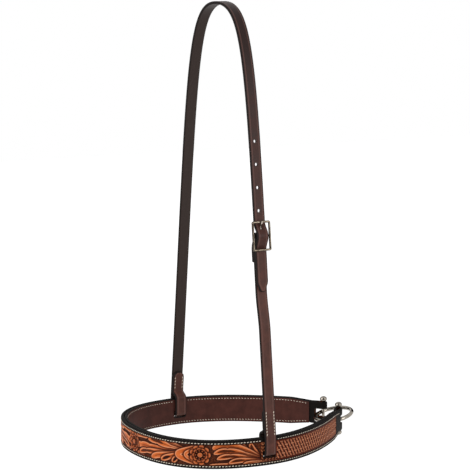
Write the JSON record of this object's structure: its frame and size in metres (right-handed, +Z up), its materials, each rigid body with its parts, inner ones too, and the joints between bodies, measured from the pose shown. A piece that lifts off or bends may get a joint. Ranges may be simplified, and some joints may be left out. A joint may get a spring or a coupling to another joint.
{
  "type": "bridle noseband",
  "caption": "Horse bridle noseband: tooled two-ply leather band closed by a ring on pins, hung on a buckled head strap.",
  "frame": {"origin": "underside of the head strap's crown, where it rests behind the horse's ears", "axes": "+Z up, -Y towards the nose, +X towards the near side, where the buckle is"},
  "size_m": [0.2118, 0.2617, 0.466],
  "materials": {
    "tooled_leather": "tooled and waxed",
    "lining_leather": "smooth",
    "strap_leather": "smooth, edges dyed black",
    "thread": "waxed cream thread",
    "steel": "polished stainless steel",
    "nickel": "dull nickel"
  },
  "bodies": {
    "head_strap": {"crown_strap": "strap_leather", "near_cheek_strap": "strap_leather", "far_loop_thread": "thread", "near_loop_thread": "thread", "buckle_fold_thread": "thread"},
    "noseband": {"noseband_outer": "tooled_leather", "noseband_liner": "lining_leather", "noseband_outer_thread": "thread", "noseband_inner_thread": "thread", "nose_outer_thread": "thread", "nose_inner_thread": "thread"},
    "chin_ring": {"chin_ring": "steel"},
    "near_pin": {"near_pin": "steel"},
    "far_pin": {"far_pin": "steel"},
    "buckle_frame": {"buckle_frame": "nickel"},
    "buckle_tongue": {"buckle_tongue": "nickel"}
  },
  "joints": [
    {"name": "noseband_rock", "type": "hinge", "parent": "head_strap", "child": "noseband", "pos_m": [0, 0, -0.4466], "axis": [1, 0, 0], "range_deg": [-8, 8]},
    {"name": "ring_swing", "type": "hinge", "parent": "noseband", "child": "chin_ring", "pos_m": [0, 0.1345, -0.4437], "axis": [1, 0, 0], "range_deg": [-26, 4]},
    {"name": "near_pin_spin", "type": "hinge", "parent": "noseband", "child": "near_pin", "pos_m": [0.01551, 0.1345, -0.4437], "axis": [0, 0, 1], "continuous": true},
    {"name": "far_pin_spin", "type": "hinge", "parent": "noseband", "child": "far_pin", "pos_m": [-0.01551, 0.1345, -0.4437], "axis": [0, 0, 1], "continuous": true},
    {"name": "buckle_rock", "type": "hinge", "parent": "head_strap", "child": "buckle_frame", "pos_m": [0.08148, 0, -0.2277], "axis": [0, 1, 0], "range_deg": [-2.5, 2.5]},
    {"name": "tongue_lift", "type": "hinge", "parent": "buckle_frame", "child": "buckle_tongue", "pos_m": [0.08148, 0, -0.2277], "axis": [0, 1, 0], "range_deg": [0, 5]}
  ]
}
